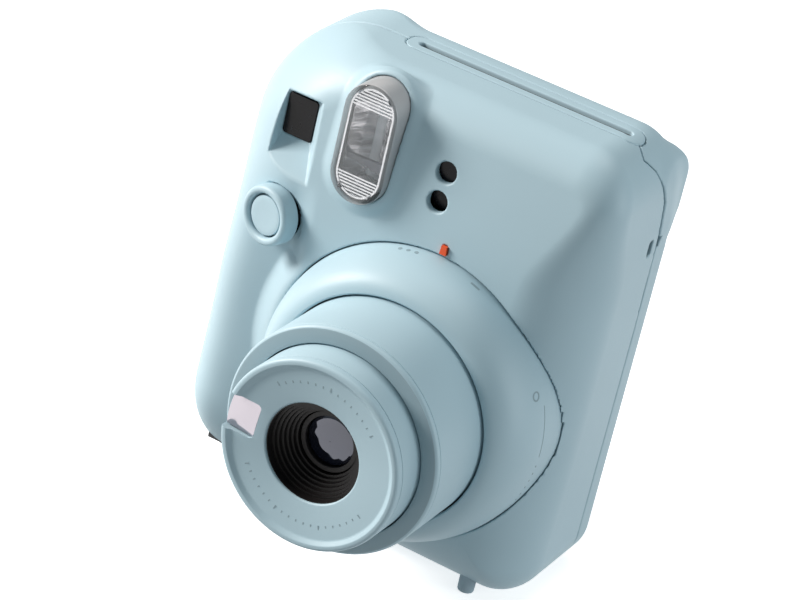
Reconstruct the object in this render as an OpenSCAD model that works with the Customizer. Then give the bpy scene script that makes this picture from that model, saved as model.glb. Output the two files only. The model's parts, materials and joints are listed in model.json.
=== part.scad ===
// Compact instant camera with a twist-out lens, a film chamber and a roller drive.
// The origin is on the flat base, on the middle line of the casing. +Z is up and the lens looks along -Y.

/* [Body] */
// Width of the body, side to side
body_w = 104; // [102:1:110]
// Height of the casing, from its flat base to its top
body_h = 121.4; // [120:0.2:124]
// Depth of the casing, from the front plane to the back plane
body_d = 44.8; // [44.4:0.2:46]
// Thickness of the outer walls
wall = 2; // [1.6:0.1:2.4]
// Height of the feet under the body
foot_h = 0.6; // [0.4:0.1:1.2]

/* [Lens] */
// How far the lens axis stands to the side of the body's middle
lens_x = 12; // [10:0.5:12]
// Height of the lens axis
lens_z = 47.6; // [46:0.2:49]
// Radius of the front barrel
inner_r = 23.8; // [23:0.1:24]
// Radius of the rear barrel
outer_r = 28.5; // [28.4:0.1:28.8]
// Largest radius of the domed mode ring
ring_r = 37.6; // [37.2:0.1:38]
// Angle that the mode ring turns from on to off
off_angle = 66; // [50:1:70]

/* [Film] */
// Width of one sheet of film
film_w = 54; // [53:0.5:54]
// Length of one sheet of film
film_h = 86; // [84:0.5:86]
// Width of the film pack
pack_w = 66; // [65:0.5:66]
// Height of the film pack
pack_h = 92; // [90:0.5:92]
// Thickness of the film pack
pack_d = 16.5; // [16:0.5:16.5]

/* [Drive] */
// Radius of the two developer rollers
roller_r = 4.2; // [4:0.05:4.25]
// Tooth size of the gears
gear_module = 0.5; // [0.5:0.01:0.51]

/* [Hidden] */
$fn = 64;
edge = 0.01;

// Main planes of the body
left = -body_w / 2;
right = body_w / 2;
front = -18.8;
back = front + body_d;
seam = 16;
rear_limit = back + 1.8;

// Outlines of the body: [across, along, corner radius]
front_corners = [[left, 0, 22], [right, 0, 12], [right, body_h, 13], [left, body_h, 27]];
plan_corners = [
    [left, back, 6.5], [left, front - 3, 14], [left + 16, front - 3, 12], [left + 27, front, 12],
    [right, front, 20], [right, back, 6.5]
];
side_corners = [
    [front - 1, 0, 12], [front - 3, body_h * 0.3, 60], [front - 3, body_h * 0.8, 40],
    [front + 5.5, body_h, 8], [back, body_h, 13], [back, 0, 8]
];

// Lens barrels, along Y
face_y = -64.3;
opening_r = 12.5;
inner_front = -54;
inner_back = -30;
outer_back = -22;
dome_front = -32.7;
dome_back = -5;
flange_y = -4.5;
barrel_wall = 1.6;
glide = 0.3;

// Film path, along Y and Z
path_y = 9;
film_x = lens_x;
pack_left = film_x - pack_w / 2;
pack_right = film_x + pack_w / 2;
pack_low = 8;
pack_top = pack_low + pack_h;
pack_front = path_y - 2.5;
pack_back = pack_front + pack_d;
chamber_wall = 1.2;
play = 0.4;

// Rollers and gears, in the YZ plane
teeth_small = 12;
teeth_middle = 24;
teeth_large = 36;
teeth_pair = 18;
backlash = 0.05;
pair_gap = gear_module * teeth_pair + backlash;
roller_z = 108;
drive_at = [path_y - pair_gap / 2, roller_z];
pinch_at = [path_y + pair_gap / 2, roller_z];
idler_angle = -70;
idler_at = drive_at + (gear_module * (teeth_small + teeth_middle) / 2 + backlash)
    * [cos(idler_angle), sin(idler_angle)];
motor_at = idler_at - [0, gear_module * (teeth_small + teeth_large) / 2 + backlash];
shaft_r = 1.5;
fit = 0.05;
large_x = [-26.4, -24.9];
middle_x = [-24.7, -22.8];
pair_x = [-22.3, -20];
roller_x = [-17.2, 41.8];
plate_left = [-19, -17.6];
plate_right = [42.4, 43.8];
motor_r = 6.5;
motor_x = [-46, -27.9];

// Viewfinder
finder_x = [-37.7, -26.7];
finder_front = front + 3.2;
finder_z = [96, 109.5];
eyepiece_at = [-32.5, 106.5];
eyepiece_r = 11;

// Flash
flash_at = [-12, 105.1];
flash_w = 14.5;
flash_h = 31;
flash_front = -21.5;

// Light sensors, one above the other
sensor_at = [[8.6, 105.2], [8.4, 97.8]];
sensor_r = 2.5;

// Shutter button
button_at = [-33.6, 76.3];
button_r = 5.2;
button_ring_r = 8;
button_front = -22.2;

// Power cells
cell_x = -36;
cell_y = [-2.8, 12.5];
cell_r = 7.2;
cell_z = [9.5, 59.8];

// Battery door, in the left wall
hatch_y = [-3, 12];
hatch_z = [12, 62];
hatch_pin = [left + 1, 12.4];
hatch_pin_r = 0.6;

// Back door and its hinge
door_x = [-25.5, 46.6];
door_z = [4.6, 104];
door_front = back + 0.2;
hinge_at = [right - 4.6, back - 1.4];
hinge_r = 2.2;
hinge_z = [10, 92];
// The door stops short of the ear above this step, so that it can swing fully open
step_x = hinge_at.x - (rear_limit - hinge_at.y) - 1;
step_z = hinge_z[1] + 0.4;
pin_r = 0.8;
latch_z = [50, 62];
latch_travel = 4;
counter_at = [-13, 24];
counter_r = 8;

// ---- Geometry helpers ----

function unit(v) = v / norm(v);
function angle_of(v) = atan2(v.y, v.x);
function short_turn(from, to) = (to - from + 900) % 360 - 180;

// Outline through corners [x, y, radius], each one rounded by an arc
function rounded(corners, steps = 8) = [
    for (i = [0:len(corners) - 1])
        let (
            n = len(corners),
            here = [corners[i].x, corners[i].y],
            r = corners[i].z,
            to_last = unit([for (k = [0, 1]) corners[(i + n - 1) % n][k] - here[k]]),
            to_next = unit([for (k = [0, 1]) corners[(i + 1) % n][k] - here[k]]),
            half = acos(to_last * to_next) / 2,
            middle = here + unit(to_last + to_next) * r / sin(half),
            from = angle_of(here + to_last * r / tan(half) - middle),
            sweep = short_turn(from, angle_of(here + to_next * r / tan(half) - middle))
        )
        for (s = [0:steps]) middle + r * [cos(from + sweep * s / steps), sin(from + sweep * s / steps)]
];

module block(x, y, z) {
    translate([x[0], y[0], z[0]])
        cube([x[1] - x[0], y[1] - y[0], z[1] - z[0]]);
}

// Extrudes an XZ outline along Y
module along_y(y) {
    translate([0, y[1], 0])
        rotate([90, 0, 0])
            linear_extrude(y[1] - y[0])
                children();
}

// Extrudes a YZ outline along X
module along_x(x) {
    translate([x[0], 0, 0])
        rotate([90, 0, 90])
            linear_extrude(x[1] - x[0])
                children();
}

// Round bar along Y, through the point [x, z]
module bar_y(at, r, y) {
    translate([at.x, y[0], at.y])
        rotate([-90, 0, 0])
            cylinder(r = r, h = y[1] - y[0]);
}

// Round bar along X, through the point [y, z]
module bar_x(at, r, x) {
    translate([x[0], at.x, at.y])
        rotate([0, 90, 0])
            cylinder(r = r, h = x[1] - x[0]);
}

// Turns a [radius, y] outline about the lens axis
module on_lens_axis(outline) {
    translate([lens_x, 0, lens_z])
        rotate([-90, 0, 0])
            rotate_extrude()
                polygon(outline);
}

// Tube about the lens axis
module lens_tube(r, y) {
    on_lens_axis([[r[0], y[0]], [r[1], y[0]], [r[1], y[1]], [r[0], y[1]]]);
}

// Upright slot shape with round ends
module pill(at, w, h) {
    translate(at) {
        square([w, h - w], center = true);
        for (side = [-1, 1])
            translate([0, side * (h - w) / 2])
                circle(d = w);
    }
}

module rounded_rectangle(x, z, r) {
    polygon(rounded([[x[0], z[0], r], [x[1], z[0], r], [x[1], z[1], r], [x[0], z[1], r]]));
}

// The body's outer form, moved inwards by an inset
module body_form(inset = 0) {
    intersection() {
        along_y([-50, 50])
            offset(delta = -inset)
                polygon(rounded(front_corners));
        along_x([-80, 80])
            offset(delta = -inset)
                polygon(rounded(side_corners));
        translate([0, 0, -10])
            linear_extrude(body_h + 20)
                offset(delta = -inset)
                    polygon(rounded(plan_corners));
    }
}

// Angle of the rolled flank at a radius outside the base circle
function rolled(r, base) = let (t = sqrt(max(0, pow(r / base, 2) - 1))) t * 180 / PI - atan(t);

// Involute gear outline with a tooth centred on the first axis
function gear_outline(teeth) =
    let (
        pitch = gear_module * teeth / 2,
        base = pitch * cos(20),
        root = pitch - 1.15 * gear_module,
        tip = pitch + 0.75 * gear_module,
        play_angle = backlash / pitch * 90 / PI,
        steps = 4
    )
    [
        for (i = [0:teeth - 1])
            for (side = [-1, 1])
                for (s = [0:steps + 1])
                    let (
                        k = side < 0 ? s : steps + 1 - s,
                        r = k == 0 ? root : base + (tip - base) * (k - 1) / steps,
                        half = 90 / teeth - play_angle + rolled(pitch, base) - rolled(max(r, base), base),
                        a = 360 * i / teeth + side * half
                    )
                    r * [cos(a), sin(a)]
    ];

// Gear on an axis along X, turned so that a tooth points along an angle
module gear(teeth, at, x, tooth_angle) {
    along_x(x)
        translate(at)
            rotate(tooth_angle)
                polygon(gear_outline(teeth));
}

// Bent flat strip: a wavy YZ line of a given thickness, as wide as x
module leaf_strip(points, thickness, x) {
    along_x(x)
        polygon(concat(points, [for (i = [len(points) - 1:-1:0]) points[i] + [thickness, 0]]));
}

// ---- Casing ----

module ring_opening() {
    bar_y([lens_x, lens_z], ring_r + 0.5, [-60, flange_y]);
}

module hatch_opening() {
    block([left - 1, left + wall + 1], [hatch_y[0] - 0.4, hatch_pin.y + 1.4],
        [hatch_z[0] - 0.4, hatch_z[1] + 0.4]);
}

module strap_holes() {
    block([right - wall - 1, right + 1], [11.2, 13.4], [92, 96.2]);
    block([right - wall - 1, right + 1], [16.1, 17.3], [93, 96]);
    block([right - wall - 2.8, right - wall], [11.2, 17.3], [88.8, 99.2]);
}

module front_openings() {
    ring_opening();
    along_y([-40, 0])
        pill(flash_at, flash_w + 0.4, flash_h + 0.4);
    block(finder_x, [-40, 0], finder_z);
    for (at = sensor_at)
        bar_y(at, sensor_r, [-40, 0]);
    bar_y(button_at, button_ring_r, [-40, front]);
    bar_y(button_at, button_r + 1, [-40, 0]);
    along_y([front - 5, front + 0.6])
        mark_outline(0);
    hatch_opening();
    for (z = [hatch_z[0] - 1.8, hatch_z[1] - 0.2])
        translate([hatch_pin.x, hatch_pin.y, z])
            cylinder(r = hatch_pin_r + fit, h = 2);
    exit_cutout(0);
    strap_holes();
}

module front_shell() {
    color([0.66, 0.79, 0.84])
        difference() {
            body_form();
            body_form(wall);
            block([-80, 80], [seam, 60], [-10, 140]);
            front_openings();
        }
}

module rear_shell() {
    color([0.66, 0.79, 0.84])
        difference() {
            union() {
                difference() {
                    body_form();
                    body_form(wall);
                    block([-80, 80], [-60, seam], [-10, 140]);
                }
                intersection() {
                    along_x([door_x[1] + 0.4, right])
                        polygon(rounded(ear_corners));
                    along_y([0, 60])
                        polygon(rounded(front_corners));
                }
                intersection() {
                    block([hinge_at.x - 1.8, right], [hinge_at.y - 2.5, back], [3, hinge_z[0] - 0.4]);
                    body_form(edge);
                }
                bar_y(eyepiece_at, eyepiece_r, [back - 6, back + 0.4]);
            }
            difference() {
                block(door_hole_x, [back - 7, back + 1], door_hole_z);
                above_step(0.4, back - wall);
            }
            block([door_hole_x[1] - 1, hinge_at.x + hinge_r + 0.4], [hinge_at.y - hinge_r - 0.4, 30],
                [hinge_z[0] - 0.4, hinge_z[1] + 0.4]);
            translate([hinge_at.x, hinge_at.y, pin_z[0] - 0.2])
                cylinder(r = pin_r, h = pin_z[1] - pin_z[0] + 0.4);
            block(finder_x, [0, 60], finder_z);
            strap_holes();
            for (at = screw_at) {
                bar_y(at, screw_r, [seam, 40]);
                bar_y(at, screw_head_r, [back - 1.6, 40]);
            }
        }
}

// Everything above and beyond the door's step, behind a depth
module above_step(gap, depth = 0) {
    block([step_x + gap, 80], [depth, 60], [step_z + gap, 140]);
}

// Side outline of the ear that holds the top of the hinge pin: [y, z, radius]
ear_corners = [
    [seam, 92.8, 1], [back - 1, 92.8, 2], [rear_limit, 100.5, 4], [rear_limit - 0.4, 110, 7],
    [back - 5, body_h - 1.5, 6], [seam, body_h - 1.5, 1]
];
door_hole_x = [door_x[0] + 1.4, pack_right + 0.6];
door_hole_z = [door_z[0] + 1.4, pack_top + 2.4];
pin_z = [5.2, 98];

screw_at = [[left + 8, 16], [left + 8, 78], [-12, 107.4], [34, 107.4]];
screw_r = 1;
screw_head_r = 2;

module case_screws() {
    color([0.55, 0.56, 0.58])
        for (at = screw_at)
            difference() {
                union() {
                    bar_y(at, screw_r, [back - 7, back - 1.6 + edge]);
                    bar_y(at, screw_head_r, [back - 1.6, back - 0.6]);
                }
                for (turn = [0, 90])
                    translate([at.x, back, at.y])
                        rotate([0, turn, 0])
                            cube([2.2, 1.8, 0.5], center = true);
            }
}

// Four feet on the curved edges of the underside, outside its flat face
module rubber_feet() {
    color([0.5, 0.6, 0.65])
        difference() {
            for (x = [left + 25, right - 14.6])
                for (y = [front + 7.8, back - 5.2])
                    translate([x, y, -foot_h])
                        cylinder(r1 = 2.1, r2 = 2.5, h = foot_h + 1);
            body_form();
        }
}

module strap_bar() {
    color([0.6, 0.72, 0.77])
        block([right - wall - 2.6, right - wall - 1.3], [13.4, 16], [89, 99]);
}

module mark_outline(gap) {
    translate([lens_x + 1.4, lens_z + ring_r + 1.9])
        polygon([[-0.9 + gap, -1.1], [0.9 - gap, -1.1], [0.7 - gap, 1.1], [-0.7 + gap, 1.1]]);
}

module index_mark() {
    color([0.95, 0.36, 0.12])
        along_y([front - 0.3, front + 0.6])
            mark_outline(0);
}

// ---- Lens ----

// Quarter arch of the domed ring, from the front lip to the skirt
function dome(grow) = [
    for (a = [0:10:90])
        [outer_r + 0.9 + grow + (ring_r - outer_r - 1.7) * sin(a), dome_front - grow + 17.7 * (1 - cos(a))]
];

module mode_ring() {
    sleeve_r = outer_r + 2.2;
    color([0.66, 0.79, 0.84])
        on_lens_axis(concat(
            [[outer_r + 0.4, dome_front]], dome(0), [[ring_r, dome_back]],
            [[ring_r - wall, dome_back]], [for (i = [9:-1:4]) dome(-1.8)[i]],
            [[sleeve_r + 1.6, dome_front + 5], [sleeve_r + 1.6, dome_back - 4], [sleeve_r, dome_back - 4],
            [sleeve_r, dome_front + 1.6], [outer_r + 0.4, dome_front + 1.6]]
        ));
}

module barrel_guide() {
    bore = outer_r + glide;
    color([0.13, 0.13, 0.14])
        on_lens_axis([
            [bore, dome_front + 2], [bore + 1.5, dome_front + 2], [bore + 1.5, flange_y],
            [ring_r - 2.4, flange_y], [ring_r - 2.4, flange_y + 1.5], [bore, flange_y + 1.5]
        ]);
}

module outer_barrel() {
    color([0.62, 0.76, 0.82])
        on_lens_axis([
            [inner_r + 0.4, inner_front - 0.1], [outer_r - 0.8, inner_front - 0.1],
                [outer_r, inner_front + 0.9],
            [outer_r, outer_back], [outer_r - barrel_wall, outer_back],
            [outer_r - barrel_wall, inner_front + 2], [inner_r + 0.4, inner_front + 2]
        ]);
}

module inner_barrel() {
    color([0.66, 0.79, 0.84])
        difference() {
            on_lens_axis([
                [inner_r - barrel_wall, face_y + 2.4], [inner_r, face_y + 2.4], [inner_r, inner_back],
                [inner_r - barrel_wall, inner_back]
            ]);
            mirror_seat();
        }
}

// Dished lens face with the open seat for the mirror
module front_ring() {
    color([0.66, 0.79, 0.84])
        difference() {
            on_lens_axis([
                [opening_r, face_y + 1.5], [opening_r + 0.8, face_y + 1.2], [inner_r - 1.6, face_y],
                [inner_r - 0.6, face_y], [inner_r, face_y + 0.6], [inner_r, face_y + 2.4],
                [inner_r - barrel_wall, face_y + 2.4], [opening_r, face_y + 3.4]
            ]);
            mirror_seat();
        }
}

mirror_angle = 175;

module mirror_seat() {
    translate([lens_x, 0, lens_z])
        rotate([0, -mirror_angle, 0])
            block([inner_r - 8, inner_r + 1], [face_y - 1, face_y + 3], [-4.6, 4.6]);
}

module selfie_mirror() {
    color([0.7, 0.68, 0.72])
        intersection() {
            translate([lens_x, 0, lens_z])
                rotate([0, -mirror_angle, 0])
                    block([inner_r - 7.8, inner_r], [face_y + 2, face_y + 2.9], [-4.4, 4.4]);
            lens_tube([opening_r, inner_r - 0.2], [face_y, face_y + 6]);
        }
}

// Dark funnel with steps that stop stray light
module lens_cone() {
    steps = 5;
    reach = 6.5;
    drop = 5;
    color([0.12, 0.11, 0.11])
        on_lens_axis(concat(
            [[opening_r - 0.2 + 1.6, face_y + 3.4], [opening_r - 0.2, face_y + 3.4]],
            [for (i = [0:steps - 1]) for (k = [0, 1])
                [opening_r - 0.2 - drop * (i + k) / steps, face_y + 3.4 + reach * (i + 1) / steps]],
            [[opening_r - 0.2 - drop + 1.6, face_y + 3.4 + reach]]
        ));
}

// Round lens: a disc with one bulging and one flat side
module lens_element(r, y, bulge) {
    on_lens_axis(concat(
        [[0, y[1]], [r, y[1]], [r, y[0]]],
        [for (a = [75:-15:0]) [r * sin(a), y[0] - bulge * cos(a)]]
    ));
}

cell_y0 = face_y + 9.9;

module front_lens() {
    color([0.3, 0.34, 0.42])
        lens_element(6.4, [cell_y0 + 1.4, cell_y0 + 3.2], 1);
}

module lens_cell() {
    color([0.1, 0.1, 0.11])
        on_lens_axis([
            [6.5, cell_y0], [8.9, cell_y0], [8.9, cell_y0 + 5], [6, cell_y0 + 5],
            [6, cell_y0 + 3.2], [6.5, cell_y0 + 3.2]
        ]);
}

plate_y = [cell_y0 + 5, cell_y0 + 6];
blade_pivot = 13;

module shutter_plate() {
    color([0.16, 0.16, 0.17]) {
        lens_tube([4, inner_r - barrel_wall - 0.05], plate_y);
        for (side = [-1, 1])
            bar_y([lens_x + side * blade_pivot, lens_z], 0.8, [plate_y[1] - edge, plate_y[1] + 2]);
    }
}

// Shutter blade from its pivot to just past the lens axis
module shutter_blade(side, layer) {
    color([0.2, 0.2, 0.21])
        along_y([plate_y[1] + 0.3 + 0.8 * layer, plate_y[1] + 0.7 + 0.8 * layer])
            difference() {
                translate([lens_x, lens_z])
                    scale([side, 1])
                        difference() {
                            union() {
                                translate([blade_pivot, 0]) circle(r = 2);
                                translate([0, -2]) square([blade_pivot, 4]);
                                translate([0.5, 0]) circle(r = 5);
                            }
                            translate([-8, -8]) square([7.6, 16]);
                        }
                translate([lens_x + side * blade_pivot, lens_z])
                    circle(r = 0.8 + fit);
            }
}

module shutter_blade_upper() {
    shutter_blade(1, 0);
}

module shutter_blade_lower() {
    shutter_blade(-1, 1);
}

module rear_baffle() {
    color([0.1, 0.1, 0.11])
        lens_tube([7, inner_r - barrel_wall - 0.05], [plate_y[1] + 4, plate_y[1] + 5.6]);
}

module rear_lens() {
    color([0.35, 0.4, 0.46])
        lens_element(6.95, [plate_y[1] + 4, plate_y[1] + 5.6], 0.9);
}

// ---- Flash, sensors, viewfinder, shutter button ----

module flash_window() {
    color([0.85, 0.87, 0.88, 0.5])
        difference() {
            along_y([flash_front, front + 8])
                pill(flash_at, flash_w, flash_h);
            along_y([flash_front + 1.2, front + 9])
                pill(flash_at, flash_w - 2.2, flash_h - 2.2);
        }
}

module flash_reflector() {
    depth = 8;
    half = 5.3;
    bowl = [for (s = [-1:0.125:1]) [flash_at.x + half * s, front + 7.5 - depth * s * s]];
    shell = [for (s = [1:-0.125:-1]) [flash_at.x + (half + 0.5) * s, front + 8 - depth * s * s]];
    color([0.85, 0.86, 0.88])
        translate([0, 0, flash_at.y - 10])
            linear_extrude(20)
                polygon(concat(bowl, shell));
}

module flash_tube() {
    color([0.8, 0.84, 0.88])
        translate([flash_at.x, front + 5.2, flash_at.y - 10])
            cylinder(r = 1.2, h = 20);
}

module flash_capacitor() {
    color([0.12, 0.14, 0.2])
        bar_x([8, 72], 4.5, [-49, -24.6]);
}

module sensor_windows() {
    color([0.04, 0.04, 0.05])
        for (at = sensor_at)
            bar_y(at, sensor_r + 0.5, [front + 4, front + 5]);
}

module light_sensors() {
    color([0.15, 0.15, 0.16])
        for (at = sensor_at)
            bar_y(at, 1.8, [front + 5.4, board_y[0]]);
}

board_y = [-9, -7.8];

module main_board() {
    color([0.1, 0.35, 0.2]) {
        block([-1, 45], board_y, [91, 117]);
        for (i = [0:3])
            block([16 + 7 * i, 21 + 7 * i], [board_y[1] - edge, board_y[1] + 1.6],
                [93 + 3 * (i % 2), 99 + 3 * (i % 2)]);
    }
}

module viewfinder_window() {
    color([0.2, 0.2, 0.22])
        block([finder_x[0] + 1, finder_x[1] - 1], [finder_front - 1, finder_front],
            [finder_z[0] + 1, finder_z[1] - 1]);
}

module viewfinder_tube() {
    color([0.08, 0.08, 0.09])
        difference() {
            block([finder_x[0] + 0.1, finder_x[1] - 0.1], [finder_front, back + 0.4],
                [finder_z[0] + 0.1, finder_z[1] - 0.1]);
            block([finder_x[0] + 1.1, finder_x[1] - 1.1], [finder_front - 1, back + 1],
                [finder_z[0] + 1.1, finder_z[1] - 1.1]);
        }
}

module viewfinder_lens() {
    color([0.6, 0.66, 0.7])
        block([finder_x[0] + 1.1, finder_x[1] - 1.1], [back - 1.4, back + 0.2],
            [finder_z[0] + 1.1, finder_z[1] - 1.1]);
}

module eyepiece_frame() {
    color([0.07, 0.07, 0.08])
        difference() {
            bar_y(eyepiece_at, eyepiece_r - 0.8, [back + 0.4, rear_limit]);
            along_y([0, 60])
                rounded_rectangle([finder_x[0] + 1, finder_x[1] - 1], [finder_z[0] + 1, finder_z[1] - 1], 1);
        }
}

module shutter_button() {
    color([0.66, 0.79, 0.84]) {
        bar_y(button_at, button_r, [button_front + 0.6, front + 2.4]);
        bar_y(button_at, button_r + 0.8, [front + 2.4 - edge, front + 3.4]);
        bar_y(button_at, 1.5, [front + 3.4 - edge, front + 5]);
    }
}

module button_ring() {
    width = button_ring_r - button_r - 0.4;
    color([0.66, 0.79, 0.84])
        translate([button_at.x, 0, button_at.y])
            rotate([-90, 0, 0])
                rotate_extrude()
                    polygon(concat(
                        [for (a = [0:15:180]) [button_ring_r - width / 2 + width / 2 * cos(a),
                            button_front + 1.2 - 1.2 * sin(a)]],
                        [[button_r + 0.4, front], [button_ring_r, front]]
                    ));
}

module shutter_switch() {
    color([0.2, 0.2, 0.22]) {
        block([button_at.x - 6, button_at.x + 6], [front + 9, front + 10.2],
            [button_at.y - 6, button_at.y + 6]);
        block([button_at.x - 3, button_at.x + 3], [front + 7, front + 9 + edge],
            [button_at.y - 3, button_at.y + 3]);
        bar_y(button_at, 1.5, [front + 6.7, front + 7 + edge]);
    }
}

// ---- Film chamber ----

module film_gate() {
    along_y([-40, 6])
        rounded_rectangle([film_x - 23.5, film_x + 23.5], [lens_z - 31.5, lens_z + 31.5], 2);
}

module chassis() {
    inner_x = [pack_left - play, pack_right + play];
    inner_z = [pack_low - play, pack_top + play];
    color([0.12, 0.12, 0.13])
        difference() {
            intersection() {
                block([inner_x[0] - chamber_wall, inner_x[1] + chamber_wall],
                    [pack_front - 1.7, back - wall - 2],
                        [inner_z[0] - chamber_wall, inner_z[1] + chamber_wall]);
                body_form(wall + 0.1);
            }
            block(inner_x, [pack_front - 0.2, 60], inner_z);
            film_gate();
            block([film_x - film_w / 2 - 1, film_x + film_w / 2 + 1], [path_y - 1.5, path_y + 1.5],
                [90, 120]);
            block([pack_left - 3, pack_left + 1], [path_y - 2, path_y + 2.4], [0, 18]);
            bar_x(idler_at, 1, [-30, pack_left - play + 0.1]);
        }
}

module light_box() {
    color([0.08, 0.08, 0.08])
        difference() {
            block([film_x - 26, film_x + 26], [flange_y + 1.5, pack_front - 1.7],
                [lens_z - 34, lens_z + 34]);
            film_gate();
        }
}

module film_pack() {
    color([0.16, 0.16, 0.17])
        difference() {
            block([pack_left, pack_right], [pack_front, pack_back], [pack_low, pack_top]);
            block([film_x - film_w / 2 - 0.4, film_x + film_w / 2 + 0.4],
                [pack_front + 1.2, pack_back - 1.5],
                [pack_low + 2.6, pack_low + 3.4 + film_h]);
            film_gate();
            block([film_x - film_w / 2 - 0.4, film_x + film_w / 2 + 0.4], [path_y - 0.8, path_y + 0.8],
                [90, 120]);
            block([pack_left - 1, film_x - film_w / 2 - 0.2], [path_y - 2, path_y + 2.2], [0, 19]);
            above_step(-0.2);
        }
}

module film_sheets() {
    color([0.9, 0.9, 0.88])
        block([film_x - film_w / 2, film_x + film_w / 2], [pack_front + 1.4, pack_front + 11.4],
            [pack_low + 3, pack_low + 3 + film_h]);
}

// Hooked strip that pushes the top sheet towards the rollers
module ejection_claw() {
    x = pack_left - play - chamber_wall;
    color([0.62, 0.63, 0.65]) {
        block([x - 1, x - 0.4], [path_y - 1.4, path_y + 1.6], [9.4, 60]);
        block([x - 1, film_x - film_w / 2 - 0.6], [path_y - 1.4, path_y + 1.6], [9.4, 10.4]);
    }
}

slot_x = [film_x - 29.4, film_x + 29.4];
slot_y = [path_y - 1.15, path_y + 1.15];

module exit_cutout(gap) {
    block([slot_x[0] - 3 + gap, slot_x[1] + 3 - gap], [path_y - 4 + gap, path_y + 4 - gap],
        [body_h - 3, body_h + 5]);
}

module exit_panel() {
    color([0.66, 0.79, 0.84])
        difference() {
            intersection() {
                exit_cutout(0.1);
                body_form();
            }
            body_form(wall);
            block(slot_x, slot_y, [100, 140]);
            bar_x([slot_y[1] - 0.5, body_h - 1.2], 0.35, [slot_x[0] - 1.2, slot_x[1] + 1.2]);
        }
}

module exit_flap() {
    color([0.3, 0.36, 0.4]) {
        block([slot_x[0] + 0.3, slot_x[1] - 0.3], [slot_y[0] + 0.3, slot_y[1] - 0.5],
            [body_h - 1.5, body_h - 0.9]);
        bar_x([slot_y[1] - 0.5, body_h - 1.2], 0.3, [slot_x[0] - 1, slot_x[1] + 1]);
    }
}

// ---- Roller drive ----

module roller_frame() {
    color([0.6, 0.61, 0.63])
        difference() {
            union() {
                for (x = [plate_left, plate_right])
                    block(x, [-3.5, 16.5], [102.2, 114]);
                block([plate_left[0], plate_right[1]], [-3.5, -2.3], [102.2, 106]);
            }
            for (at = [drive_at, pinch_at])
                bar_x(at, shaft_r + fit, [-30, 60]);
        }
}

module roller(at, shaft_start) {
    bar_x(at, roller_r, roller_x);
    bar_x(at, shaft_r, [shaft_start, plate_right[1]]);
}

module drive_roller() {
    color([0.35, 0.36, 0.38]) {
        roller(drive_at, middle_x[0]);
        gear(teeth_middle, drive_at, middle_x, idler_angle + 180 / teeth_middle);
        gear(teeth_pair, drive_at, pair_x, 0);
    }
}

module pinch_roller() {
    color([0.45, 0.46, 0.48]) {
        roller(pinch_at, pair_x[0]);
        gear(teeth_pair, pinch_at, pair_x, 180 + 180 / teeth_pair);
    }
}

module idler_gear() {
    color([0.9, 0.88, 0.8])
        difference() {
            union() {
                gear(teeth_large, idler_at, large_x, -90 + 180 / teeth_large);
                bar_x(idler_at, 2, [large_x[1] - edge, middle_x[0] + edge]);
                gear(teeth_small, idler_at, middle_x, idler_angle + 180);
            }
            bar_x(idler_at, 1 + fit, [-30, -20]);
        }
}

module gear_axle() {
    color([0.7, 0.71, 0.72])
        bar_x(idler_at, 1, [large_x[0], pack_left - play - 0.1]);
}

module motor_pinion() {
    color([0.8, 0.66, 0.35])
        difference() {
            gear(teeth_small, motor_at, large_x, 90);
            bar_x(motor_at, 0.8, [-30, -20]);
        }
}

module motor() {
    color([0.7, 0.7, 0.72]) {
        bar_x(motor_at, motor_r, motor_x);
        bar_x(motor_at, 2, [motor_x[1] - edge, motor_x[1] + 0.9]);
        bar_x(motor_at, 0.75, [motor_x[1], large_x[1]]);
    }
}

module motor_bracket() {
    face = [motor_x[1], motor_x[1] + 1];
    color([0.6, 0.61, 0.63])
        difference() {
            union() {
                block(face, [motor_at.x - 7, motor_at.x + 7], [motor_at.y - 7, motor_at.y + 7]);
                block([face[0], pack_left - play - chamber_wall], [pack_front - 1.7, 12],
                    [motor_at.y - 7, motor_at.y - 5.6]);
            }
            bar_x(motor_at, 2.05, [-40, -20]);
        }
}

// ---- Power ----

module battery_box() {
    color([0.14, 0.14, 0.15])
        difference() {
            block([cell_x - 5, cell_x + cell_r + 0.7], [cell_y[0] - 8, cell_y[1] + 8],
                [cell_z[0] - 3, cell_z[1] + 3]);
            for (y = cell_y)
                translate([cell_x, y, cell_z[0] - 2])
                    cylinder(r = cell_r + 0.2, h = cell_z[1] - cell_z[0] + 4);
        }
}

module battery_cells() {
    color([0.85, 0.65, 0.25])
        for (i = [0, 1])
            translate([cell_x, cell_y[i], 0]) {
                translate([0, 0, cell_z[0]])
                    cylinder(r = cell_r, h = cell_z[1] - cell_z[0] - 1);
                translate([0, 0, i == 0 ? cell_z[1] - 1 - edge : cell_z[0] - 1])
                    cylinder(r = 2.7, h = 1 + edge);
            }
}

module battery_contacts() {
    color([0.75, 0.72, 0.6])
        for (y = cell_y)
            for (z = [cell_z[0] - 1.6, cell_z[1] + 0.1])
                block([cell_x - 3, cell_x + 3], [y - 4, y + 4], [z, z + 0.5]);
}

module battery_door() {
    color([0.66, 0.79, 0.84]) {
        difference() {
            intersection() {
                body_form();
                block([left - 1, left + wall], hatch_y, hatch_z);
            }
            translate([hatch_pin.x, hatch_pin.y, hatch_z[0] - 5])
                cylinder(r = 0.7, h = 80);
        }
        translate([hatch_pin.x, hatch_pin.y, hatch_z[0] - 1.6])
            cylinder(r = hatch_pin_r, h = hatch_z[1] - hatch_z[0] + 3.2);
        translate([hatch_pin.x, hatch_pin.y, hatch_z[0]])
            cylinder(r = 0.9, h = hatch_z[1] - hatch_z[0]);
    }
}

// ---- Back door ----

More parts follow.
